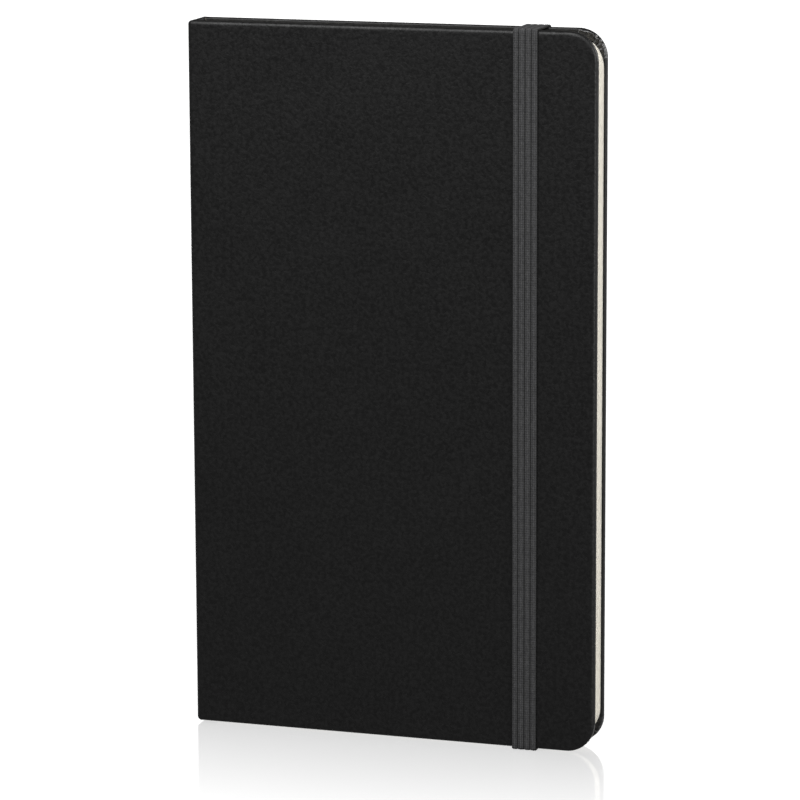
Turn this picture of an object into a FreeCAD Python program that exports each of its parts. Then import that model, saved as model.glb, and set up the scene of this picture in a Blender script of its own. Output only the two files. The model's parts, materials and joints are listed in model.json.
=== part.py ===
import FreeCAD, Part
import math
import os

# Pocket notebook standing upright on its tail edge.
# +X runs from the spine to the fore-edge, the front cover faces -Y and +Z is up.
# The origin is the centre of the footprint, on the surface that the notebook stands on.

# Driving dimensions in millimetres and degrees.
COVER_WIDTH = 88.0
COVER_HEIGHT = 150.0
COVER_CORNER = 6.0
BOARD_THICKNESS = 1.75
SKIN_THICKNESS = 0.25
PASTEDOWN_THICKNESS = 0.15
BLOCK_THICKNESS = 5.1
FORE_EDGE_SQUARE = 0.5
END_SQUARE = 1.2
PAGE_CORNER = 6.8
TURN_IN = 10.0

SPINE_BOARD_THICKNESS = 1.0
SPINE_CLEARANCE = 0.3
MULL_THICKNESS = 0.2
MULL_INSET = 12.0
THREAD_RADIUS = 0.12
STITCH_STATIONS = 6
STITCH_INSET = 18.0

SIGNATURE_COUNT = 8
FLYLEAF_THICKNESS = 0.14
COVER_TO_FLYLEAF = 0.12
LEAF_GAP = 0.06
STRIP_GAP = 0.05
FOLD_DEPTH = 2.2
FAN_MARGIN = 0.12
FRONT_FAN = [150.0, 130.0, 110.0, 90.0, 68.0, 40.0]
REAR_FAN = [150.0, 95.0, 45.0]

ELASTIC_WIDTH = 5.2
ELASTIC_THICKNESS = 0.4
ELASTIC_INSET = 14.9
ELASTIC_GAP = 0.03
SLOT_WIDTH = 5.8
SLOT_LENGTH = 0.8
SLOT_INSET = 9.0
ANCHOR_LENGTH = 14.0

# Positions that follow from them.
COVER_THICKNESS = SKIN_THICKNESS + BOARD_THICKNESS + PASTEDOWN_THICKNESS
HINGE_RADIUS = COVER_THICKNESS / 2
BODY_THICKNESS = BLOCK_THICKNESS + 2 * COVER_THICKNESS
SPINE_X = -COVER_WIDTH / 2
EDGE_X = COVER_WIDTH / 2
HINGE_X = SPINE_X + HINGE_RADIUS
HINGE_Y = BODY_THICKNESS / 2 - HINGE_RADIUS
TAIL_Z = ELASTIC_THICKNESS + ELASTIC_GAP
HEAD_Z = TAIL_Z + COVER_HEIGHT
INSIDE_Y = BLOCK_THICKNESS / 2
BOARD_Y = INSIDE_Y + PASTEDOWN_THICKNESS
FACE_Y = BODY_THICKNESS / 2

PAGE_EDGE_X = EDGE_X - FORE_EDGE_SQUARE
PAGE_TAIL_Z = TAIL_Z + END_SQUARE
PAGE_HEAD_Z = HEAD_Z - END_SQUARE
FOLD_X = SPINE_X + FOLD_DEPTH

LEAF_ROOM = BLOCK_THICKNESS - 2 * (COVER_TO_FLYLEAF + FLYLEAF_THICKNESS)
SIGNATURE_PITCH = (LEAF_ROOM - LEAF_GAP) / SIGNATURE_COUNT
SIGNATURE_THICKNESS = SIGNATURE_PITCH - LEAF_GAP
FLYLEAF_Y = INSIDE_Y - COVER_TO_FLYLEAF - FLYLEAF_THICKNESS / 2
FIRST_SIGNATURE_Y = -SIGNATURE_PITCH * (SIGNATURE_COUNT - 1) / 2

ELASTIC_X = EDGE_X - ELASTIC_INSET


def box(x0, x1, y0, y1, z0, z1):
    """Block between two opposite corners."""
    corner = FreeCAD.Vector(x0, y0, z0)
    return Part.makeBox(x1 - x0, y1 - y0, z1 - z0, corner)


def page_plate(x0, x1, y0, y1, z0, z1, radius):
    """Upright plate whose two corners at x1 are rounded."""
    plate = box(x0, x1, y0, y1, z0, z1)
    corners = []
    for edge in plate.Edges:
        middle = edge.CenterOfMass
        if abs(middle.x - x1) < 1e-6 and abs(middle.y - (y0 + y1) / 2) < 1e-6:
            corners.append(edge)
    return plate.makeFillet(radius, corners)


def rod(x, y, z0, z1, radius):
    """Round bar along Z."""
    return Part.makeCylinder(radius, z1 - z0, FreeCAD.Vector(x, y, z0))


def write(name, shape):
    """One STEP file for each sub-part."""
    shape.removeSplitter().exportStep("parts/" + name + ".step")


def mirrored(shape):
    """The same piece on the other side of the page block."""
    return shape.mirror(FreeCAD.Vector(0, 0, 0), FreeCAD.Vector(0, 1, 0))


def cover_envelope(inset):
    """Front cover without its pastedown: a slab whose spine end is round about the hinge line."""
    tail = TAIL_Z + inset
    head = HEAD_Z - inset
    outer = -FACE_Y + inset
    radius = HINGE_RADIUS - inset
    slab = page_plate(HINGE_X, EDGE_X - inset, outer, -BOARD_Y, tail, head, COVER_CORNER - inset)
    end = rod(HINGE_X, -HINGE_Y, tail, head, radius)
    end = end.common(box(SPINE_X, HINGE_X, -FACE_Y, -BOARD_Y, tail, head))
    return slab.fuse(end).removeSplitter()


def front_board():
    """Board with a shallow rebate round its inner face for the turned-in covering."""
    board = cover_envelope(SKIN_THICKNESS)
    inner = -BOARD_Y - SKIN_THICKNESS
    rebate = box(SPINE_X, EDGE_X, inner, -BOARD_Y, TAIL_Z, HEAD_Z)
    window_tail = TAIL_Z + TURN_IN
    window_head = HEAD_Z - TURN_IN
    window = box(SPINE_X, EDGE_X - TURN_IN, inner, -BOARD_Y, window_tail, window_head)
    return board.cut(rebate.cut(window))


def front_skin():
    """Covering of the front board, turned in over head, tail and fore-edge."""
    return cover_envelope(0).cut(front_board())


def front_pastedown():
    """Endpaper half that is glued inside the front cover, cut to the size of the pages."""
    x1 = PAGE_EDGE_X
    return page_plate(HINGE_X, x1, -BOARD_Y, -INSIDE_Y, PAGE_TAIL_Z, PAGE_HEAD_Z, PAGE_CORNER)


def anchor_slots():
    """Room for both ends of the elastic: a slot through the board and a shallow seat inside."""
    slots = []
    for sign, edge in ((-1, HEAD_Z), (1, TAIL_Z)):
        start = edge + sign * SLOT_INSET
        through = sorted((start, start + sign * SLOT_LENGTH))
        seat = sorted((start, start + sign * ANCHOR_LENGTH))
        x0 = ELASTIC_X - SLOT_WIDTH / 2
        x1 = ELASTIC_X + SLOT_WIDTH / 2
        seat_y = BOARD_Y + ELASTIC_THICKNESS
        slots.append(box(x0, x1, BOARD_Y, FACE_Y, through[0], through[1]))
        slots.append(box(x0, x1, BOARD_Y, seat_y, seat[0], seat[1]))
    return slots[0].fuse(slots[1:])


def elastic_anchor(sign, edge):
    """Glued end of the elastic, bent through its slot and laid flat inside the rear board."""
    start = edge + sign * SLOT_INSET
    x0 = ELASTIC_X - ELASTIC_WIDTH / 2
    x1 = ELASTIC_X + ELASTIC_WIDTH / 2
    leg = sorted((start, start + sign * ELASTIC_THICKNESS))
    foot = sorted((start, start + sign * ANCHOR_LENGTH))
    upright = box(x0, x1, BOARD_Y, FACE_Y, leg[0], leg[1])
    flat = box(x0, x1, BOARD_Y, BOARD_Y + ELASTIC_THICKNESS, foot[0], foot[1])
    return upright.fuse(flat).removeSplitter()


def elastic_band():
    """Band stretched round the closed covers, open at the back between its two slots."""
    x0 = ELASTIC_X - ELASTIC_WIDTH / 2
    x1 = ELASTIC_X + ELASTIC_WIDTH / 2
    inner_y = FACE_Y + ELASTIC_GAP
    outer_y = inner_y + ELASTIC_THICKNESS
    tail = TAIL_Z - ELASTIC_GAP
    head = HEAD_Z + ELASTIC_GAP
    outer = box(x0, x1, -outer_y, outer_y, tail - ELASTIC_THICKNESS, head + ELASTIC_THICKNESS)
    bends = [edge for edge in outer.Edges if abs(edge.tangentAt(edge.FirstParameter).x) > 0.9]
    outer = outer.makeFillet(ELASTIC_THICKNESS, bends)
    inner = box(x0, x1, -inner_y, inner_y, tail, head)
    back_tail = TAIL_Z + SLOT_INSET + ELASTIC_THICKNESS
    back_head = HEAD_Z - SLOT_INSET - ELASTIC_THICKNESS
    back = box(x0, x1, 0, outer_y, back_tail, back_head)
    return outer.cut(inner).cut(back)


def spine_envelope():
    """Outer block of the stiff spine strip between both cover hinges."""
    half = INSIDE_Y - SPINE_CLEARANCE
    x1 = SPINE_X + SPINE_BOARD_THICKNESS + 2 * SKIN_THICKNESS
    return box(SPINE_X, x1, -half, half, TAIL_Z, HEAD_Z)


def spine_board():
    """Stiffener inside the spine."""
    half = INSIDE_Y - SPINE_CLEARANCE
    x0 = SPINE_X + SKIN_THICKNESS
    x1 = x0 + SPINE_BOARD_THICKNESS
    return box(x0, x1, -half, half, TAIL_Z + SKIN_THICKNESS, HEAD_Z - SKIN_THICKNESS)


def spine_skin():
    """Covering of the spine, turned in at head and tail."""
    x1 = SPINE_X + SPINE_BOARD_THICKNESS + 2 * SKIN_THICKNESS
    opening = box(SPINE_X + SKIN_THICKNESS, x1, -FACE_Y, FACE_Y, TAIL_Z + TURN_IN, HEAD_Z - TURN_IN)
    return spine_envelope().cut(spine_board()).cut(opening)


def spine_mull():
    """Gauze strip glued on the back of the folds."""
    half = INSIDE_Y - SPINE_CLEARANCE
    x1 = FOLD_X - 2 * THREAD_RADIUS
    x0 = x1 - MULL_THICKNESS
    return box(x0, x1, -half, half, TAIL_Z + MULL_INSET, HEAD_Z - MULL_INSET)


def sewing_thread():
    """Rows of chain stitch that tie the folds together, one pair of rows for each station."""
    half = -FIRST_SIGNATURE_Y + SIGNATURE_THICKNESS / 2
    first = TAIL_Z + STITCH_INSET
    spacing = (COVER_HEIGHT - 2 * STITCH_INSET) / (STITCH_STATIONS - 1)
    rows = []
    for station in range(STITCH_STATIONS):
        for side in (-1, 1):
            z = first + station * spacing + side * 2 * THREAD_RADIUS
            start = FreeCAD.Vector(FOLD_X - THREAD_RADIUS, -half, z)
            rows.append(Part.makeCylinder(THREAD_RADIUS, 2 * half, start, FreeCAD.Vector(0, 1, 0)))
    return Part.makeCompound(rows)


def fan_pivots(angles, side):
    """Pivot (x, y) of each turning leaf on one side of the block, outermost leaf first.

    Each pivot stands further from the spine than the one before it, far enough that a leaf
    at its largest angle lies in front of the leaf that has turned further.
    """
    pivots = []
    x = HINGE_X
    depth = HINGE_Y
    radius = HINGE_RADIUS
    for index, degrees in enumerate(angles):
        angle = math.radians(degrees)
        next_depth = FLYLEAF_Y if index == 0 else -FIRST_SIGNATURE_Y - (index - 1) * SIGNATURE_PITCH
        thickness = FLYLEAF_THICKNESS if index == 0 else SIGNATURE_THICKNESS
        step = depth - next_depth
        reach = radius + thickness / 2 + FAN_MARGIN
        if degrees > 90:
            x += (reach - step * math.cos(angle)) / math.sin(angle)
        else:
            x += step * math.tan(angle / 2) + FAN_MARGIN
        pivots.append((x, side * next_depth))
        depth = next_depth
        radius = thickness / 2
    return pivots


def turning_leaf(pivot, thickness):
    """Sheets from the pivot line to the fore-edge, with a round end about that line."""
    x, y = pivot
    half = thickness / 2
    plate = page_plate(x, PAGE_EDGE_X, y - half, y + half, PAGE_TAIL_Z, PAGE_HEAD_Z, PAGE_CORNER)
    end = rod(x, y, PAGE_TAIL_Z, PAGE_HEAD_Z, half)
    return plate.fuse(end).removeSplitter()


def gutter_strip(pivot, thickness, degrees):
    """Sewn part of the same sheets, from the round fold to where the turned leaf comes back over it."""
    x, y = pivot
    half = thickness / 2
    angle = math.radians(max(degrees, 90.0))
    room = half * (1 - math.cos(angle)) / math.sin(angle) + STRIP_GAP
    start = FOLD_X + half
    strip = box(start, x - room, y - half, y + half, PAGE_TAIL_Z, PAGE_HEAD_Z)
    fold = rod(start, y, PAGE_TAIL_Z, PAGE_HEAD_Z, half)
    return strip.fuse(fold).removeSplitter()


def whole_signature(y):
    """Signature that stays with the spine, from its fold to the fore-edge."""
    half = SIGNATURE_THICKNESS / 2
    return turning_leaf((FOLD_X + half, y), SIGNATURE_THICKNESS)


def write_covers():
    write("front_board", front_board())
    write("front_cover_skin", front_skin())
    write("front_pastedown", front_pastedown())
    slots = anchor_slots()
    write("rear_board", mirrored(front_board()).cut(slots))
    write("rear_cover_skin", mirrored(front_skin()).cut(slots))
    write("rear_pastedown", mirrored(front_pastedown()))


def write_elastic():
    write("elastic_band", elastic_band())
    write("elastic_head_anchor", elastic_anchor(-1, HEAD_Z))
    write("elastic_tail_anchor", elastic_anchor(1, TAIL_Z))


def write_spine():
    write("spine_board", spine_board())
    write("spine_skin", spine_skin())
    write("spine_mull", spine_mull())
    write("sewing_thread", sewing_thread())


def write_leaf(name, pivot, thickness, degrees):
    write(name, turning_leaf(pivot, thickness))
    write(name + "_gutter", gutter_strip(pivot, thickness, degrees))
    print("pivot", name, round(pivot[0], 4), round(pivot[1], 4))


def write_pages():
    front = fan_pivots(FRONT_FAN, -1)
    rear = fan_pivots(REAR_FAN, 1)
    write_leaf("front_flyleaf", front[0], FLYLEAF_THICKNESS, FRONT_FAN[0])
    write_leaf("rear_flyleaf", rear[0], FLYLEAF_THICKNESS, REAR_FAN[0])
    for number in range(1, len(front)):
        name = "signature_%d" % number
        write_leaf(name, front[number], SIGNATURE_THICKNESS, FRONT_FAN[number])
    for step in range(1, len(rear)):
        name = "signature_%d" % (SIGNATURE_COUNT + 1 - step)
        write_leaf(name, rear[step], SIGNATURE_THICKNESS, REAR_FAN[step])
    for number in range(len(front), SIGNATURE_COUNT + 2 - len(rear)):
        y = FIRST_SIGNATURE_Y + (number - 1) * SIGNATURE_PITCH
        write("signature_%d" % number, whole_signature(y))


os.makedirs("parts", exist_ok=True)
write_covers()
write_elastic()
write_spine()
write_pages()
print("hinge", round(HINGE_X, 4), round(HINGE_Y, 4), "face", FACE_Y, "tail", TAIL_Z)
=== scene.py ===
import json
import math
import random
from collections import Counter

import bpy
import numpy as np
from mathutils import Euler, Matrix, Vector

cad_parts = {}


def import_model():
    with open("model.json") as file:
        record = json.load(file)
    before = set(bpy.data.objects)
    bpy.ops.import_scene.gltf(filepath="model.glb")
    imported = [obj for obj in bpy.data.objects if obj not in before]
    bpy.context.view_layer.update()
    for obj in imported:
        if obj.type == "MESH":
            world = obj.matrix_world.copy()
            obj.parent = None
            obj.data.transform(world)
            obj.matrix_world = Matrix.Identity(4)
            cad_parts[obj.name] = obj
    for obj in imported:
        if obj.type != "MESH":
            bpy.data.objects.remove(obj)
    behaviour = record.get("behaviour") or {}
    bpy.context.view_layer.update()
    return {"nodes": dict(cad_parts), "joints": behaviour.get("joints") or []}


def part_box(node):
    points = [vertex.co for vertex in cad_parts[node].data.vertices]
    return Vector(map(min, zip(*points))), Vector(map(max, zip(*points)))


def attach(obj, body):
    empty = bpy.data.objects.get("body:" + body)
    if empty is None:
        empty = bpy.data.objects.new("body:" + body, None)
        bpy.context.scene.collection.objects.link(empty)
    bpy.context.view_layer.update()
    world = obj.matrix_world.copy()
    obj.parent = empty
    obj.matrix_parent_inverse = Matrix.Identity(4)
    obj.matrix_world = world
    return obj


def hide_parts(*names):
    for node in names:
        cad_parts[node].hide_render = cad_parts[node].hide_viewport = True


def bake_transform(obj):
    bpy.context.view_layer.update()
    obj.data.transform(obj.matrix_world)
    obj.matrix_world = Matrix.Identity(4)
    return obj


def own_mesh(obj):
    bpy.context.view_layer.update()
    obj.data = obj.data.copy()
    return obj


# The looks of a pocket notebook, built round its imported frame. Lengths are in metres.
# The front cover faces -Y, the spine is at -X, the fore-edge at +X, and the head is up.

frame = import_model()
joints = {joint["name"]: joint for joint in frame["joints"]}
random.seed(7)

MM = 0.001

# Places taken from the frame.
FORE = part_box("front_cover_skin")[1].x
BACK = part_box("front_cover_skin")[0].x
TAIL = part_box("front_cover_skin")[0].z
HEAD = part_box("front_cover_skin")[1].z
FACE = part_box("rear_cover_skin")[1].y
BOARD_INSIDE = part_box("rear_board")[0].y
HINGE_X = joints["rear_cover_hinge"]["pos_m"][0]
HINGE_Y = joints["rear_cover_hinge"]["pos_m"][1]
SPINE_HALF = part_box("spine_skin")[1].y
SPINE_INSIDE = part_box("spine_skin")[1].x
PAGE_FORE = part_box("signature_6")[1].x
PAGE_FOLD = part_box("signature_6")[0].x
PAGE_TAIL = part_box("signature_6")[0].z
PAGE_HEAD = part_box("signature_6")[1].z
BAND_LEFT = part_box("elastic_band")[0].x
BAND_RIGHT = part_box("elastic_band")[1].x
BAND_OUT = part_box("elastic_band")[1].y
BAND_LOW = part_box("elastic_band")[0].z
BAND_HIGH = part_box("elastic_band")[1].z
HEAD_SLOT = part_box("elastic_head_anchor")[1].z
TAIL_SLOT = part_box("elastic_tail_anchor")[0].z

# Cover wrap.
COVER_CORNER = 6.0 * MM
OUTER_ROUND = 0.8 * MM
INNER_ROUND = 0.4 * MM
ROUND_STEPS = 6
CORNER_STEPS = 72
TURN_IN = 4.0 * MM
SKIN = 0.1 * MM
JOINT_DEPTH = 1.05 * MM
PLEATS = 5
PLEAT_DEPTH = 0.55 * MM
FRONT_FULLNESS = 0.25
REAR_FULLNESS = 1.0
SLOT_HALF = 2.9 * MM
SLOT_LENGTH = 0.8 * MM

# Pages.
PAGE_CORNER = 6.8 * MM
FOLDED_SHEETS = 3
SHEET_GAP = 0.008 * MM
TRIM_ERROR = 0.03 * MM

# Stage.
FLOOR_HALF = 6.0
FLOOR_WHITE = 0.9
FLOOR_BOUNCE = 0.25
POLISH = 0.33
POLISH_REACH = 57 * MM
POLISH_ROUGHNESS = 0.05
DIM_WORLD = 0.07

# Elastic.
BAND_THICKNESS = 0.4 * MM
BAND_BEND = 0.45 * MM
BAND_GROOVES = (0.225, 0.495, 0.745)
GROOVE_HEIGHT = 0.62
# Painted shade for the grooves between the band's cords.
GROOVE_PAINTED_SHADE = (0.010, 0.010, 0.010)
CORD_RIBS = 3


def blend_steps(first, last, count):
    """count + 1 even values from first to last."""
    return [first + (last - first) * step / count for step in range(count + 1)]


def arc_steps(count):
    """Angles from 0 to a quarter turn."""
    return blend_steps(0.0, math.pi / 2, count)


def add_piece(name, points, faces, material, crease=35.0):
    """A smooth-shaded mesh that remembers where each point is at rest, so that patterns stay with it."""
    mesh = bpy.data.meshes.new(name)
    mesh.from_pydata([tuple(point) for point in points], [], faces)
    mesh.validate()
    mesh.polygons.foreach_set("use_smooth", [True] * len(mesh.polygons))
    mesh.set_sharp_from_angle(angle=math.radians(crease))
    place = mesh.attributes.new("place", "FLOAT_VECTOR", "POINT")
    place.data.foreach_set("vector", np.array([v.co for v in mesh.vertices], np.float32).ravel())
    mesh.materials.append(material)
    piece = bpy.data.objects.new(name, mesh)
    bpy.context.scene.collection.objects.link(piece)
    return piece


# ---------------------------------------------------------------------------------------------
# Materials


def new_material(name, roughness=0.6, specular=0.5):
    """A material and its shader, whose colour is wired later."""
    material = bpy.data.materials.new(name)
    material.use_nodes = True
    shader = material.node_tree.nodes["Principled BSDF"]
    shader.inputs["Roughness"].default_value = roughness
    shader.inputs["Specular IOR Level"].default_value = specular
    return material, shader


def place_socket(material, on_piece):
    """Rest positions: kept by each made piece in an attribute, and read from the object on a CAD node."""
    nodes = material.node_tree.nodes
    if on_piece:
        node = nodes.new("ShaderNodeAttribute")
        node.attribute_name = "place"
        return node.outputs["Vector"]
    return nodes.new("ShaderNodeTexCoord").outputs["Object"]


def stretched(material, place, factors):
    """place scaled along each axis, so that a pattern is drawn out along it."""
    node = material.node_tree.nodes.new("ShaderNodeMapping")
    node.inputs["Scale"].default_value = factors
    material.node_tree.links.new(place, node.inputs["Vector"])
    return node.outputs["Vector"]


def noise(material, place, size, detail=3.0, roughness=0.55, distortion=0.0):
    """Cloudy noise whose blotches are about size across."""
    node = material.node_tree.nodes.new("ShaderNodeTexNoise")
    node.inputs["Scale"].default_value = 1.0 / size
    node.inputs["Detail"].default_value = detail
    node.inputs["Roughness"].default_value = roughness
    node.inputs["Distortion"].default_value = distortion
    material.node_tree.links.new(place, node.inputs["Vector"])
    return node.outputs["Fac"]


def cells(material, place, size, smooth):
    """Rounded cells about size across, low in their middles."""
    node = material.node_tree.nodes.new("ShaderNodeTexVoronoi")
    node.feature = "SMOOTH_F1"
    node.inputs["Scale"].default_value = 1.0 / size
    node.inputs["Smoothness"].default_value = smooth
    material.node_tree.links.new(place, node.inputs["Vector"])
    return node.outputs["Distance"]


def waves(material, place, size, direction, distortion=0.0):
    """Parallel ripples, each size across."""
    node = material.node_tree.nodes.new("ShaderNodeTexWave")
    node.bands_direction = direction
    node.inputs["Scale"].default_value = 2 * math.pi / size / 20.0
    node.inputs["Distortion"].default_value = distortion
    material.node_tree.links.new(place, node.inputs["Vector"])
    return node.outputs["Fac"]


def ranged(material, value, low, high, start=0.0, end=1.0):
    """value from start..end becomes low..high."""
    node = material.node_tree.nodes.new("ShaderNodeMapRange")
    node.inputs["From Min"].default_value = start
    node.inputs["From Max"].default_value = end
    node.inputs["To Min"].default_value = low
    node.inputs["To Max"].default_value = high
    material.node_tree.links.new(value, node.inputs["Value"])
    return node.outputs["Result"]


def mixed(material, share, first, second):
    """Colour between first and second."""
    node = material.node_tree.nodes.new("ShaderNodeMix")
    node.data_type = "RGBA"
    for socket, colour in ((node.inputs["A"], first), (node.inputs["B"], second)):
        if isinstance(colour, tuple):
            socket.default_value = (*colour, 1.0)
        else:
            material.node_tree.links.new(colour, socket)
    material.node_tree.links.new(share, node.inputs["Factor"])
    return node.outputs["Result"]


def combined(material, operation, first, second):
    """The result of a math operation on two values."""
    node = material.node_tree.nodes.new("ShaderNodeMath")
    node.operation = operation
    for socket, value in zip(node.inputs, (first, second)):
        if isinstance(value, float):
            socket.default_value = value
        else:
            material.node_tree.links.new(value, socket)
    return node.outputs["Value"]


def bumped(material, height, depth, under=None, strength=1.0):
    """A normal that raises height by depth, over another bump where one is given."""
    node = material.node_tree.nodes.new("ShaderNodeBump")
    node.inputs["Distance"].default_value = depth
    node.inputs["Strength"].default_value = strength
    material.node_tree.links.new(height, node.inputs["Height"])
    if under is not None:
        material.node_tree.links.new(under, node.inputs["Normal"])
    return node.outputs["Normal"]


def wire(material, shader, **sockets):
    """Links each value to the shader's input of that name."""
    for name, value in sockets.items():
        material.node_tree.links.new(value, shader.inputs[name.replace("_", " ")])


def leatherette():
    """Black coated cloth with a soft, shallow grain, glossier where it is gathered at a corner."""
    material, shader = new_material("black_leatherette")
    place = place_socket(material, True)
    blotches = noise(material, place, 0.8 * MM, detail=4.0, distortion=0.5)
    clouds = noise(material, place, 9 * MM, detail=2.0)
    pores = cells(material, place, 0.5 * MM, smooth=0.6)
    colour = mixed(material, ranged(material, blotches, 0, 1, 0.38, 0.62), (0.002,) * 3, (0.006,) * 3)
    worn = ranged(material, clouds, 0.45, 0.51, 0.3, 0.7)
    roughness = combined(material, "ADD", worn, ranged(material, blotches, -0.07, 0.07, 0.35, 0.65))
    gather = material.node_tree.nodes.new("ShaderNodeAttribute")
    gather.attribute_name = "gather"
    gathered = gather.outputs["Fac"]
    roughness = combined(material, "SUBTRACT", roughness, ranged(material, gathered, 0.0, 0.20))
    gloss = ranged(material, gathered, 0.34, 0.65)
    grain = bumped(material, pores, 0.04 * MM, strength=0.6)
    grain = bumped(material, blotches, 0.09 * MM, grain)
    wire(material, shader, Base_Color=colour, Roughness=roughness, Specular_IOR_Level=gloss, Normal=grain)
    return material


def page_paper(name, light, dark):
    """Uncoated paper with a faint fibre cloud."""
    material, shader = new_material(name, roughness=0.85, specular=0.2)
    place = place_socket(material, True)
    fibres = noise(material, stretched(material, place, (1.0, 1.0, 0.35)), 0.5 * MM, detail=5.0)
    colour = mixed(material, ranged(material, fibres, 0, 1, 0.35, 0.65), dark, light)
    wire(material, shader, Base_Color=colour, Normal=bumped(material, fibres, 0.02 * MM, strength=0.5))
    return material


def elastic_fabric(name, on_piece):
    """Dark grey covered-rubber braid: fine threads across ribs that run along the band. On the made band,
    painted shade darkens the grooves and the lower slopes of the cords, more the lower they lie.
    """
    material, shader = new_material(name, roughness=0.85, specular=0.2)
    place = place_socket(material, on_piece)
    threads = waves(material, place, 0.5 * MM, "Z", distortion=1.5)
    knit = noise(material, stretched(material, place, (1.0, 1.0, 0.5)), 0.4 * MM, detail=3.0)
    fine, coarse = ranged(material, threads, 0, 0.25), ranged(material, knit, 0, 0.75, 0.3, 0.7)
    shade = combined(material, "ADD", fine, coarse)
    colour = mixed(material, shade, (0.039, 0.039, 0.040), (0.082, 0.082, 0.084))
    # Painted shade: the lower a point lies in the band's section, the nearer its colour goes to black, so
    # the grooves look shaded.
    if on_piece:
        rise = material.node_tree.nodes.new("ShaderNodeAttribute")
        rise.attribute_name = "rise"
        height = ranged(material, rise.outputs["Fac"], 0, 1, 0.63, 0.97)
        colour = mixed(material, height, GROOVE_PAINTED_SHADE, colour)
    weave = bumped(material, threads, 0.04 * MM, strength=0.5)
    weave = bumped(material, knit, 0.06 * MM, weave, strength=0.7)
    wire(material, shader, Base_Color=colour, Normal=weave)
    return material


def greyboard():
    """Pressed grey board with darker specks."""
    material, shader = new_material("greyboard", roughness=0.9, specular=0.2)
    place = place_socket(material, False)
    specks = noise(material, place, 0.7 * MM, detail=6.0, roughness=0.7)
    share = ranged(material, specks, 0, 1, 0.3, 0.7)
    colour = mixed(material, share, (0.17, 0.15, 0.12), (0.33, 0.30, 0.26))
    wire(material, shader, Base_Color=colour, Normal=bumped(material, specks, 0.06 * MM))
    return material


def linen_thread():
    """Twisted off-white thread."""
    material, shader = new_material("linen_thread", roughness=0.7, specular=0.3)
    place = place_socket(material, False)
    twist = waves(material, place, 0.5 * MM, "DIAGONAL", distortion=0.5)
    colour = mixed(material, twist, (0.55, 0.52, 0.45), (0.82, 0.80, 0.74))
    wire(material, shader, Base_Color=colour, Normal=bumped(material, twist, 0.05 * MM))
    return material


def gauze():
    """Open cotton weave stiffened with glue."""
    material, shader = new_material("mull_gauze", roughness=0.8, specular=0.3)
    place = place_socket(material, False)
    down = waves(material, place, 0.8 * MM, "Z")
    across = waves(material, place, 0.8 * MM, "Y")
    weave = combined(material, "MAXIMUM", down, across)
    colour = mixed(material, weave, (0.42, 0.38, 0.30), (0.80, 0.78, 0.72))
    wire(material, shader, Base_Color=colour, Normal=bumped(material, weave, 0.1 * MM))
    return material


def distance_from_book(material):
    """Distance on the floor from the book's footprint."""
    nodes, links = material.node_tree.nodes, material.node_tree.links
    place = nodes.new("ShaderNodeTexCoord").outputs["Object"]
    steps = (("ABSOLUTE", None), ("SUBTRACT", (FORE, FACE, 0)), ("MAXIMUM", (0, 0, 0)), ("LENGTH", None))
    for operation, value in steps:
        node = nodes.new("ShaderNodeVectorMath")
        node.operation = operation
        links.new(place, node.inputs[0])
        if value:
            node.inputs[1].default_value = value
        place = node.outputs["Value"] if operation == "LENGTH" else node.outputs["Vector"]
    return place


def floor_material():
    """Pale floor with a faint polish near the book, which throws little light back on it."""
    material = bpy.data.materials.new("pale_floor")
    material.use_nodes = True
    nodes = material.node_tree.nodes
    links = material.node_tree.links
    nodes.remove(nodes["Principled BSDF"])
    matt = nodes.new("ShaderNodeBsdfDiffuse")
    matt.inputs["Color"].default_value = (FLOOR_WHITE, FLOOR_WHITE, FLOOR_WHITE, 1.0)
    bounce = nodes.new("ShaderNodeBsdfDiffuse")
    bounce.inputs["Color"].default_value = (FLOOR_BOUNCE, FLOOR_BOUNCE, FLOOR_BOUNCE, 1.0)
    polish = nodes.new("ShaderNodeBsdfGlossy")
    polish.inputs["Color"].default_value = (1.0, 1.0, 1.0, 1.0)
    polish.inputs["Roughness"].default_value = POLISH_ROUGHNESS
    seen = nodes.new("ShaderNodeMixShader")
    share = ranged(material, distance_from_book(material), POLISH, 0.0, 0.0, POLISH_REACH)
    links.new(share, seen.inputs["Fac"])
    links.new(matt.outputs["BSDF"], seen.inputs[1])
    links.new(polish.outputs["BSDF"], seen.inputs[2])
    either = nodes.new("ShaderNodeMixShader")
    links.new(nodes.new("ShaderNodeLightPath").outputs["Is Camera Ray"], either.inputs["Fac"])
    links.new(bounce.outputs["BSDF"], either.inputs[1])
    links.new(seen.outputs["Shader"], either.inputs[2])
    links.new(either.outputs["Shader"], nodes["Material Output"].inputs["Surface"])
    return material


LEATHER = leatherette()
PAPER = page_paper("page_cream", (0.87, 0.83, 0.74), (0.81, 0.77, 0.68))
ENDPAPER = page_paper("endpaper_ivory", (0.85, 0.82, 0.74), (0.80, 0.77, 0.69))
BRAID = elastic_fabric("elastic_braid", True)


# ---------------------------------------------------------------------------------------------
# Cover wraps


def edge_profile(depth):
    """(inset, depth) across a wrapped edge, from the outer face round to the end of the turn-in."""
    outer = [
        (OUTER_ROUND * (1 - math.sin(angle)), OUTER_ROUND * (1 - math.cos(angle)))
        for angle in arc_steps(ROUND_STEPS)
    ]
    inner = [
        (INNER_ROUND * (1 - math.cos(angle)), depth - INNER_ROUND * (1 - math.sin(angle)))
        for angle in arc_steps(ROUND_STEPS)
    ]
    under = [(inset, depth) for inset in blend_steps(INNER_ROUND, TURN_IN, 4)[1:]]
    return outer + inner + under


def pleat(turn):
    """Height of the gathered folds at a rounded corner, 0 to 1, for a turn of 0 to 1 through it."""
    phase = PLEATS * turn + 0.35 * math.sin(9.0 * turn + 0.6)
    part = phase % 1.0
    height = math.sin(math.pi * part) ** 0.6
    return height * math.sin(math.pi * turn) ** 0.4


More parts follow.
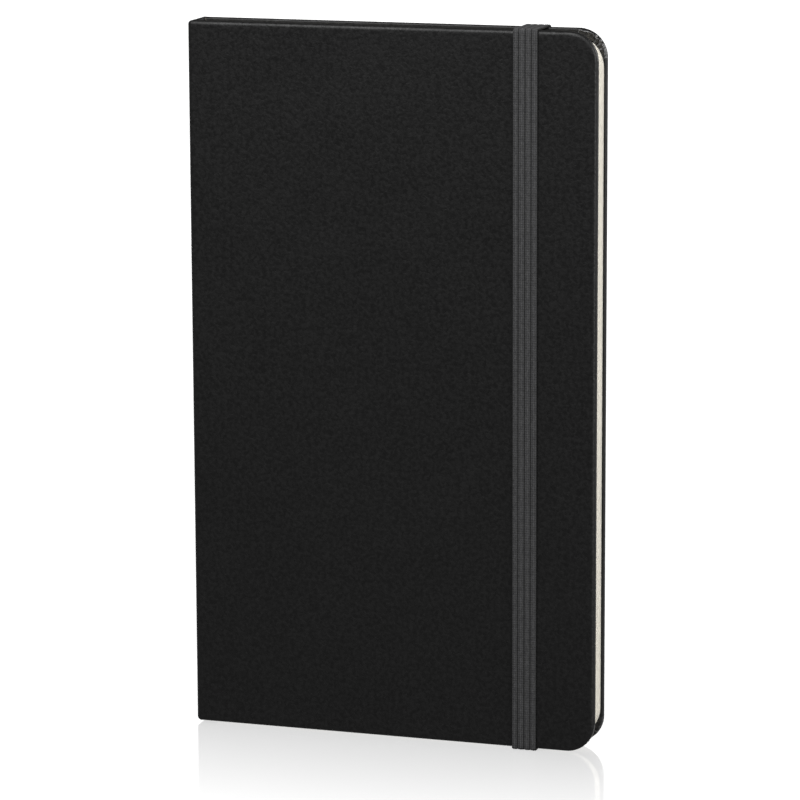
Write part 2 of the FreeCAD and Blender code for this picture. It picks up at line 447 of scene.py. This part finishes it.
def joint_stations(side):
    """(x, y, inward x, inward y, depth) of the wrap from the spine and round the joint of the cover."""
    stations = []
    for y in blend_steps(SPINE_HALF, HINGE_Y, 4)[:-1]:
        share = (y - SPINE_HALF) / (HINGE_Y - SPINE_HALF)
        depth = (SPINE_INSIDE - BACK) * (1 - share) + JOINT_DEPTH * share
        stations.append((BACK, side * y, 1.0, 0.0, depth))
    round_end = FACE - HINGE_Y
    for angle in arc_steps(6):
        x = HINGE_X - round_end * math.cos(angle)
        y = HINGE_Y + round_end * math.sin(angle)
        stations.append((x, side * y, math.cos(angle), -side * math.sin(angle), JOINT_DEPTH))
    return stations


def face_columns(side):
    """Stations of the flat of the cover, up to where its corners begin."""
    slot_left = (BAND_LEFT + BAND_RIGHT) / 2 - SLOT_HALF
    slot_right = (BAND_LEFT + BAND_RIGHT) / 2 + SLOT_HALF
    xs = [HINGE_X + 0.5 * MM, HINGE_X + 1.2 * MM, HINGE_X + 2.0 * MM]
    xs += blend_steps(HINGE_X + 4 * MM, slot_left, 10)
    xs += [slot_right, FORE - COVER_CORNER]
    return [(x, side * FACE, 0.0, -side, FACE - BOARD_INSIDE) for x in xs]


def face_rows(slotted):
    """Shares of the height at which the rows of the face lie, with the edges of the slots among them."""
    low, high = TAIL + OUTER_ROUND, HEAD - OUTER_ROUND
    levels = blend_steps(low, high, 16)
    levels += [low + 0.5 * MM, high - 0.5 * MM]
    if slotted:
        levels += [TAIL_SLOT, TAIL_SLOT + SLOT_LENGTH, HEAD_SLOT, HEAD_SLOT - SLOT_LENGTH]
        levels = [z for z in levels if not 0.05 * MM < abs(z - TAIL_SLOT) < 0.3 * MM]
    return [(z - low) / (high - low) for z in sorted(levels)]


def cover_outline(stations, rows):
    """Outline points from the spine along the tail, up the fore-edge and back along the head.
    Each is (point, towards the middle of the face, towards the inside, depth, turn through a corner)."""
    outline = []
    for x, y, nx, ny, depth in stations:
        outline.append(((x, y, TAIL), (0, 0, 1), (nx, ny, 0), depth, 0.0))
    last_y, last_ny, last_depth = stations[-1][1], stations[-1][3], stations[-1][4]
    inwards = (0, last_ny, 0)
    centre_x = FORE - COVER_CORNER
    for step in range(1, CORNER_STEPS + 1):
        angle = math.pi / 2 * step / CORNER_STEPS
        across, up = math.sin(angle), -math.cos(angle)
        point = (centre_x + COVER_CORNER * across, last_y, TAIL + COVER_CORNER + COVER_CORNER * up)
        outline.append((point, (-across, 0, -up), inwards, last_depth, step / CORNER_STEPS))
    low, high = TAIL + COVER_CORNER, HEAD - COVER_CORNER
    for share in rows[1:-1]:
        outline.append(((FORE, last_y, low + (high - low) * share), (-1, 0, 0), inwards, last_depth, 0.0))
    tail_half = outline[: len(stations) + CORNER_STEPS]
    for point, middle, inward, depth, turn in reversed(tail_half):
        mirrored = (point[0], point[1], TAIL + HEAD - point[2])
        outline.append((mirrored, (middle[0], middle[1], -middle[2]), inward, depth, turn))
    return outline


def pleated(inset, depth, full_depth, turn, fullness):
    """The gathered leatherette dips between its folds on the edge and on the turn-in of a corner."""
    reach = min(1.0, max(0.0, (depth - OUTER_ROUND * 0.8) / (full_depth * 0.35)))
    dip = (1 - pleat(turn)) * PLEAT_DEPTH * fullness * reach * math.sin(math.pi * turn) ** 0.3
    if inset > INNER_ROUND * 0.9 and depth > full_depth / 2:
        return inset, depth - dip * 0.55
    return inset + dip * 0.7, depth


def cover_wrap(name, side, slotted):
    """The leatherette of one cover, from the spine seam over the joint and round the board's edges."""
    stations = joint_stations(side) + face_columns(side)
    rows = face_rows(slotted)
    outline = cover_outline(stations, rows)
    ring = len(edge_profile(0.0))
    points, gathered = [], []
    fullness = REAR_FULLNESS if side > 0 else FRONT_FULLNESS
    for point, middle, inward, depth, turn in outline:
        for inset, down in edge_profile(depth):
            gathered.append(1.0 if 0 < turn < 1 and down > depth / 3 else 0.0)
            if 0 < turn < 1:
                inset, down = pleated(inset, down, depth, turn, fullness)
            points.append(np.array(point) + inset * np.array(middle) + down * np.array(inward))
    columns, levels = len(stations) + CORNER_STEPS - 1, len(rows) - 1
    index = {}
    for column in range(columns + 1):
        low_ring, high_ring = column * ring, (2 * columns + levels - column) * ring
        for row, share in enumerate(rows):
            if row == 0:
                index[column, row] = low_ring
            elif row == levels:
                index[column, row] = high_ring
            elif column == columns:
                index[column, row] = (columns + row) * ring
            else:
                index[column, row] = len(points)
                points.append(points[low_ring] * (1 - share) + points[high_ring] * share)
    faces = []
    slot_middle = (BAND_LEFT + BAND_RIGHT) / 2
    for column in range(columns):
        for row in range(levels):
            corners = ((column, row), (column + 1, row), (column + 1, row + 1), (column, row + 1))
            quad = [index[corner] for corner in corners]
            middle = sum(points[corner] for corner in quad) / 4
            over_tail = TAIL_SLOT < middle[2] < TAIL_SLOT + SLOT_LENGTH
            over_head = HEAD_SLOT - SLOT_LENGTH < middle[2] < HEAD_SLOT
            across_slot = abs(middle[0] - slot_middle) < SLOT_HALF
            if not (slotted and across_slot and (over_tail or over_head)):
                faces.append(quad)
    for place in range(len(outline) - 1):
        for step in range(ring - 1):
            first, second = place * ring + step, (place + 1) * ring + step
            faces.append([first, first + 1, second + 1, second])
    if side > 0:
        faces = [face[::-1] for face in faces]
    piece = add_piece(name, points, faces, LEATHER)
    gather = piece.data.attributes.new("gather", "FLOAT", "POINT")
    gather.data.foreach_set("value", gathered + [0.0] * (len(points) - len(gathered)))
    thicken(piece)
    return piece


def thicken(piece):
    """Gives the wrap its thickness inwards, with its open edges kept sharp."""
    mesh = piece.data
    uses = Counter(key for face in mesh.polygons for key in face.edge_keys)
    for edge in mesh.edges:
        if uses[edge.key] == 1:
            edge.use_edge_sharp = True
    shell = piece.modifiers.new("thickness", "SOLIDIFY")
    shell.thickness = SKIN
    shell.offset = -1.0


def spine_wrap():
    """The leatherette over the spine strip, with its turned-in head and tail."""
    profile = edge_profile(SPINE_INSIDE - BACK)
    across = blend_steps(-SPINE_HALF, SPINE_HALF, 8)
    levels = blend_steps(TAIL + OUTER_ROUND, HEAD - OUTER_ROUND, 16)[1:-1]
    points = []
    for y in across:
        for inset, depth in reversed(profile):
            points.append((BACK + depth, -y, TAIL + inset))
        for z in levels:
            points.append((BACK, -y, z))
        for inset, depth in profile:
            points.append((BACK + depth, -y, HEAD - inset))
    count = 2 * len(profile) + len(levels)
    faces = []
    for column in range(len(across) - 1):
        for step in range(count - 1):
            first, second = column * count + step, (column + 1) * count + step
            faces.append([first, second, second + 1, first + 1])
    piece = add_piece("spine_leatherette", points, faces, LEATHER)
    thicken(piece)
    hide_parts("spine_skin")
    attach(piece, "book_block")


def covers():
    """Both cover wraps and the spine's."""
    for name, side in (("front", -1), ("rear", 1)):
        piece = cover_wrap(name + "_cover_leatherette", side, slotted=side > 0)
        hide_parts(name + "_cover_skin")
        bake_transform(piece)
    spine_wrap()


# ---------------------------------------------------------------------------------------------
# Paper


def page_stations(fold, fore, y, steps=10):
    """(x, y, tail z, head z) along a flat leaf from its fold to its rounded fore-edge corners."""
    straight = [fold + 0.5 * MM * step for step in range(14)]
    straight += blend_steps(fold + 8 * MM, fore - PAGE_CORNER, 5)
    stations = [(x, y, PAGE_TAIL, PAGE_HEAD) for x in straight]
    for angle in arc_steps(steps)[1:]:
        rise = PAGE_CORNER * (1 - math.cos(angle))
        x = fore - PAGE_CORNER + PAGE_CORNER * math.sin(angle)
        stations.append((x, y, PAGE_TAIL + rise, PAGE_HEAD - rise))
    return stations


def sheet_points(stations, thickness, points, faces, rows=4):
    """Adds a closed sheet of paper that follows the stations, with half its thickness on each side."""
    base = len(points)
    for place, (x, y, low, high) in enumerate(stations):
        before = stations[max(place - 1, 0)]
        after = stations[min(place + 1, len(stations) - 1)]
        along = np.array((after[0] - before[0], after[1] - before[1]))
        along /= np.linalg.norm(along)
        normal = np.array((along[1], -along[0])) * thickness / 2
        for sign in (1, -1):
            for share in blend_steps(0.0, 1.0, rows):
                points.append((x + sign * normal[0], y + sign * normal[1], low + (high - low) * share))
    side, ring = rows + 1, 2 * (rows + 1)
    for place in range(len(stations) - 1):
        here, there = base + place * ring, base + (place + 1) * ring
        for row in range(rows):
            faces.append([here + row, there + row, there + row + 1, here + row + 1])
            back, front = here + side + row, there + side + row
            faces.append([back, back + 1, front + 1, front])
        faces.append([here, here + side, there + side, there])
        faces.append([here + rows, there + rows, there + side + rows, here + side + rows])
    for place, flip in ((0, False), (len(stations) - 1, True)):
        here = base + place * ring
        for row in range(rows):
            quad = [here + row, here + row + 1, here + side + row + 1, here + side + row]
            faces.append(quad[::-1] if flip else quad)


def folded_sheet(middle, half, fore, points, faces, thickness):
    """One sheet of a signature, folded at the spine, with each leaf half away from the middle."""
    fold = PAGE_FOLD + half + thickness / 2
    upper = page_stations(fold, fore, middle - half)
    lower = page_stations(fold, fore, middle + half)
    bend = []
    for step in range(1, 8):
        angle = math.pi * step / 8
        x, y = fold - half * math.sin(angle), middle - half * math.cos(angle)
        bend.append((x, y, PAGE_TAIL, PAGE_HEAD))
    sheet_points(upper[::-1] + bend + lower, thickness, points, faces)


def signature(number):
    """Sheets folded inside each other."""
    node = "signature_%d" % number
    low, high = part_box(node)
    middle = (low.y + high.y) / 2
    pitch = (high.y - low.y) / (2 * FOLDED_SHEETS)
    thickness = pitch - SHEET_GAP
    points, faces = [], []
    for sheet in range(FOLDED_SHEETS):
        fore = PAGE_FORE - random.uniform(0, TRIM_ERROR)
        folded_sheet(middle, pitch * (sheet + 0.5), fore, points, faces, thickness)
    piece = add_piece(node + "_sheets", points, faces, PAPER)
    turn = joints.get(node + "_turn")
    if turn is None:
        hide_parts(node)
        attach(piece, "book_block")
        return
    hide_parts(node, node + "_gutter")
    bend_leaf(piece)


def bend_leaf(piece):
    """Bakes the paper's placement into its mesh."""
    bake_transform(piece)


def flyleaf(name):
    """The free half of an endpaper."""
    node = name + "_flyleaf"
    low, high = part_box(node)
    stations = page_stations(PAGE_FOLD, high.x, (low.y + high.y) / 2)
    points, faces = [], []
    sheet_points(stations, high.y - low.y, points, faces)
    piece = add_piece(node + "_sheet", points, faces, ENDPAPER)
    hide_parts(node, node + "_gutter")
    bend_leaf(piece)


def pastedown(name):
    """The half of the endpaper that is glued inside a cover."""
    node = name + "_pastedown"
    low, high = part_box(node)
    thickness = high.y - low.y
    y = (low.y + high.y) / 2
    points, faces = [], []
    flat = page_stations(HINGE_X + 0.2 * MM, high.x, y)
    sheet_points(flat, thickness, points, faces)
    piece = add_piece(node + "_sheet", points, faces, ENDPAPER)
    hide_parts(node)
    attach(piece, name + "_cover")


def pages():
    for number in range(1, 9):
        signature(number)
    for name in ("front", "rear"):
        flyleaf(name)
        pastedown(name)


# ---------------------------------------------------------------------------------------------
# Elastic


def band_path():
    """(y, z, outward y, outward z) of the band's middle line, from the head slot round to the tail slot."""
    mid = BAND_OUT - BAND_THICKNESS / 2
    top, bottom = BAND_HIGH - BAND_THICKNESS / 2, BAND_LOW + BAND_THICKNESS / 2
    slot_top, slot_bottom = HEAD_SLOT - SLOT_LENGTH / 2, TAIL_SLOT + SLOT_LENGTH / 2
    dive = BAND_THICKNESS / 2 + 0.02 * MM
    path = []
    for angle in arc_steps(5):
        path.append((mid - dive + dive * math.sin(angle), slot_top + dive - dive * math.cos(angle),
                     math.sin(angle), -math.cos(angle)))
    path += [(mid, z, 1, 0) for z in blend_steps(slot_top + 1 * MM, top - 1 * MM, 4)]
    path += corner(mid - BAND_BEND, top - BAND_BEND, 0.0)
    path += [(y, top, 0, 1) for y in blend_steps(mid - 1 * MM, 1 * MM - mid, 6)]
    path += corner(BAND_BEND - mid, top - BAND_BEND, math.pi / 2)
    path += [(-mid, z, -1, 0) for z in blend_steps(top - 1 * MM, bottom + 1 * MM, 60)]
    path += corner(BAND_BEND - mid, bottom + BAND_BEND, math.pi)
    path += [(y, bottom, 0, -1) for y in blend_steps(1 * MM - mid, mid - 1 * MM, 6)]
    path += corner(mid - BAND_BEND, bottom + BAND_BEND, 1.5 * math.pi)
    path += [(mid, z, 1, 0) for z in blend_steps(bottom + 1 * MM, slot_bottom - 1 * MM, 4)]
    for angle in arc_steps(5)[::-1]:
        path.append((mid - dive + dive * math.sin(angle), slot_bottom - dive + dive * math.cos(angle),
                     math.sin(angle), math.cos(angle)))
    return path


def corner(centre_y, centre_z, start):
    """Quarter bend of the band round a cover's edge."""
    return [
        (
            centre_y + BAND_BEND * math.cos(start + angle),
            centre_z + BAND_BEND * math.sin(start + angle),
            math.cos(start + angle),
            math.sin(start + angle),
        )
        for angle in arc_steps(6)
    ]


def band_height(share):
    """Height of the band at a share of its width: four cords of fine ribs, with grooves between."""
    edges = (0.0, *BAND_GROOVES, 1.0)
    for left, right in zip(edges, edges[1:]):
        if left <= share <= right:
            part = (share - left) / (right - left)
            crown = min(1.0, 3.6 * part, 3.6 * (1 - part)) ** 0.6
            ribs = 0.5 + 0.5 * math.cos(2 * math.pi * CORD_RIBS * (part - 1 / (2 * CORD_RIBS)))
            return GROOVE_HEIGHT + 0.22 * crown + 0.16 * ribs * crown
    return GROOVE_HEIGHT


def band_section(count=96):
    """(x, out) round the band's section, out from its middle line."""
    shares = blend_steps(0.0, 1.0, count)
    outer = [(share, band_height(share) - 0.5) for share in shares]
    inner = [(share, -0.48) for share in blend_steps(1.0, 0.0, 6)]
    width = BAND_RIGHT - BAND_LEFT
    return [(BAND_LEFT + share * width, out * BAND_THICKNESS) for share, out in outer + inner]


def elastic():
    path, section = band_path(), band_section()
    ring = len(section)
    points, faces = [], []
    for y, z, out_y, out_z in path:
        for x, out in section:
            points.append((x, y + out * out_y, z + out * out_z))
    for place in range(len(path) - 1):
        for step in range(ring):
            first = place * ring
            second = first + ring
            turn = (step + 1) % ring
            faces.append([first + step, first + turn, second + turn, second + step])
    faces.append(list(range(ring))[::-1])
    faces.append([(len(path) - 1) * ring + step for step in range(ring)])
    piece = add_piece("elastic_closure", points, faces, BRAID, crease=50.0)
    # The height across the band's section, which the braid material turns into painted shade in its
    # grooves.
    rise = piece.data.attributes.new("rise", "FLOAT", "POINT")
    rise.data.foreach_set("value", [out / BAND_THICKNESS + 0.5 for x, out in section] * len(path))
    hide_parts("elastic_band")
    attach(piece, "elastic")
    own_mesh(piece)


# ---------------------------------------------------------------------------------------------
# CAD pieces that show their own shape


def finish_nodes():
    finishes = {
        greyboard(): ("front_board", "rear_board", "spine_board"),
        linen_thread(): ("sewing_thread",),
        gauze(): ("spine_mull",),
        elastic_fabric("elastic_braid_end", False): ("elastic_head_anchor", "elastic_tail_anchor"),
    }
    for material, names in finishes.items():
        for name in names:
            for slot in frame["nodes"][name].material_slots:
                slot.material = material


# ---------------------------------------------------------------------------------------------
# Stage


def floor():
    corners = [(-FLOOR_HALF, -FLOOR_HALF, 0), (FLOOR_HALF, -FLOOR_HALF, 0)]
    corners += [(FLOOR_HALF, FLOOR_HALF, 0), (-FLOOR_HALF, FLOOR_HALF, 0)]
    mesh = bpy.data.meshes.new("floor")
    mesh.from_pydata(corners, [], [(0, 1, 2, 3)])
    mesh.materials.append(floor_material())
    plane = bpy.data.objects.new("floor", mesh)
    bpy.context.scene.collection.objects.link(plane)
    return plane


def area_light(name, place, aim, size, power):
    lamp = bpy.data.lights.new(name, "AREA")
    lamp.shape = "RECTANGLE"
    lamp.size, lamp.size_y = size
    lamp.energy = power
    holder = bpy.data.objects.new(name, lamp)
    bpy.context.scene.collection.objects.link(holder)
    direction = np.array(aim) - np.array(place)
    holder.location = place
    flat = math.hypot(direction[0], direction[1])
    holder.rotation_euler = (math.atan2(flat, -direction[2]), 0, math.atan2(-direction[0], direction[1]))
    return holder


def limit_light(lamp, plane, state):
    """INCLUDE lights only the floor, without a shadow, and EXCLUDE lights everything but the floor."""
    group = bpy.data.collections.new(lamp.name + "_receivers")
    group.objects.link(plane)
    lamp.light_linking.receiver_collection = group
    group.collection_objects[0].light_linking.link_state = state
    if state == "INCLUDE":
        lamp.light_linking.blocker_collection = group


def lights(plane):
    """An even wash and a bright wall behind for the floor, and softboxes for the book."""
    sun = bpy.data.lights.new("floor_wash", "SUN")
    sun.energy = 3.2
    sun.angle = math.radians(60)
    wash = bpy.data.objects.new("floor_wash", sun)
    bpy.context.scene.collection.objects.link(wash)
    glow = area_light("floor_glow", (0, 2.5, 0.9), (0, 0, 0.0), (6.0, 2.4), 48.0)
    for lamp in (wash, glow):
        limit_light(lamp, plane, "INCLUDE")
    middle = (0, 0, (TAIL + HEAD) / 2)
    for lamp in (
        area_light("front_softbox", (-0.15, -0.32, 0.46), (0, 0, 0.11), (0.36, 0.30), 1.7),
        area_light("right_softbox", (0.75, -0.25, 0.30), middle, (0.4, 0.5), 5.0),
        area_light("head_softbox", (0.0, -0.22, 0.60), middle, (0.5, 0.2), 1.8),
        area_light("back_softbox", (0.6, 0.8, 0.35), middle, (0.5, 0.5), 1.8),
    ):
        limit_light(lamp, plane, "EXCLUDE")


def world():
    """White where the camera sees it, and dim in reflections and as light."""
    surroundings = bpy.data.worlds.new("studio")
    surroundings.use_nodes = True
    tree = surroundings.node_tree
    seen = tree.nodes["Background"]
    seen.inputs["Color"].default_value = (1, 1, 1, 1)
    seen.inputs["Strength"].default_value = 1.0
    dim = tree.nodes.new("ShaderNodeBackground")
    dim.inputs["Color"].default_value = (1, 1, 1, 1)
    dim.inputs["Strength"].default_value = DIM_WORLD
    rays = tree.nodes.new("ShaderNodeLightPath")
    pick = tree.nodes.new("ShaderNodeMixShader")
    tree.links.new(rays.outputs["Is Camera Ray"], pick.inputs["Fac"])
    tree.links.new(dim.outputs["Background"], pick.inputs[1])
    tree.links.new(seen.outputs["Background"], pick.inputs[2])
    tree.links.new(pick.outputs["Shader"], tree.nodes["World Output"].inputs["Surface"])
    bpy.context.scene.world = surroundings


CAMERA_DISTANCE = 0.850
CAMERA_AZIMUTH = math.radians(18.07)
CAMERA_ELEVATION = math.radians(10.91)
CAMERA_YAW = math.radians(18.03)
CAMERA_PITCH = math.radians(11.14)
CAMERA_ROLL = math.radians(-0.23)
CAMERA_LENS = 183.5


def camera():
    """A long lens from the front, a little to the right and above."""
    view = bpy.data.cameras.new("camera")
    view.lens = CAMERA_LENS
    view.sensor_width = 36.0
    holder = bpy.data.objects.new("camera", view)
    level = CAMERA_DISTANCE * math.cos(CAMERA_ELEVATION)
    holder.location = (
        level * math.sin(CAMERA_AZIMUTH),
        -level * math.cos(CAMERA_AZIMUTH),
        (TAIL + HEAD) / 2 + CAMERA_DISTANCE * math.sin(CAMERA_ELEVATION),
    )
    aimed = Euler((math.pi / 2 - CAMERA_PITCH, 0, CAMERA_YAW)).to_matrix()
    turned = aimed @ Matrix.Rotation(CAMERA_ROLL, 3, "Z")
    holder.rotation_euler = turned.to_euler()
    bpy.context.scene.collection.objects.link(holder)
    bpy.context.scene.camera = holder


covers()
pages()
elastic()
finish_nodes()
lights(floor())
world()
camera()
bpy.context.scene.view_settings.view_transform = "Standard"
